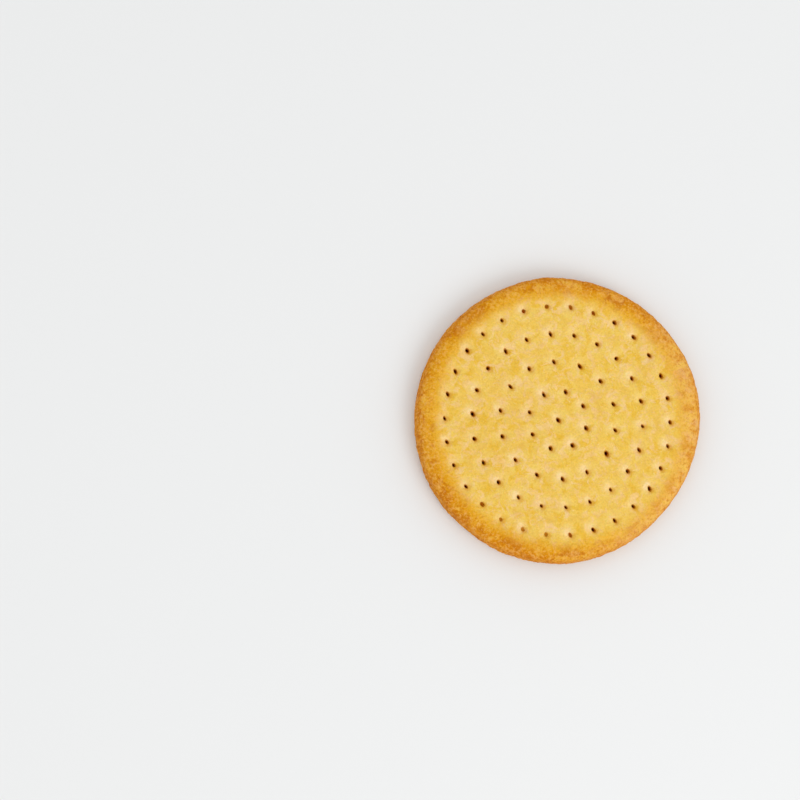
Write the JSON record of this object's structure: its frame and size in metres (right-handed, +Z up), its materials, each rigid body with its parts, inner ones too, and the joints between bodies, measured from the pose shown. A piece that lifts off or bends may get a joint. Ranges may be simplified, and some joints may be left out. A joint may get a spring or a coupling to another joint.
{
  "type": "milk biscuit",
  "caption": "Round thin baked biscuit with a pale golden face, a browner rounded rim, a flat underside and docker holes right through in even rings.",
  "frame": {"origin": "on the flat underside, at the middle of the bounding box seen from above", "axes": "+Z up out of the pricked face, along the thin way of the biscuit; -Y is the near side in the picture and +X its right"},
  "size_m": [0.0656, 0.0652, 0.0061],
  "materials": {
    "crust": "dry matt baked crust, pale gold in the middle and browner on the rim"
  },
  "bodies": {
    "root": {"biscuit": "crust"}
  },
  "joints": []
}
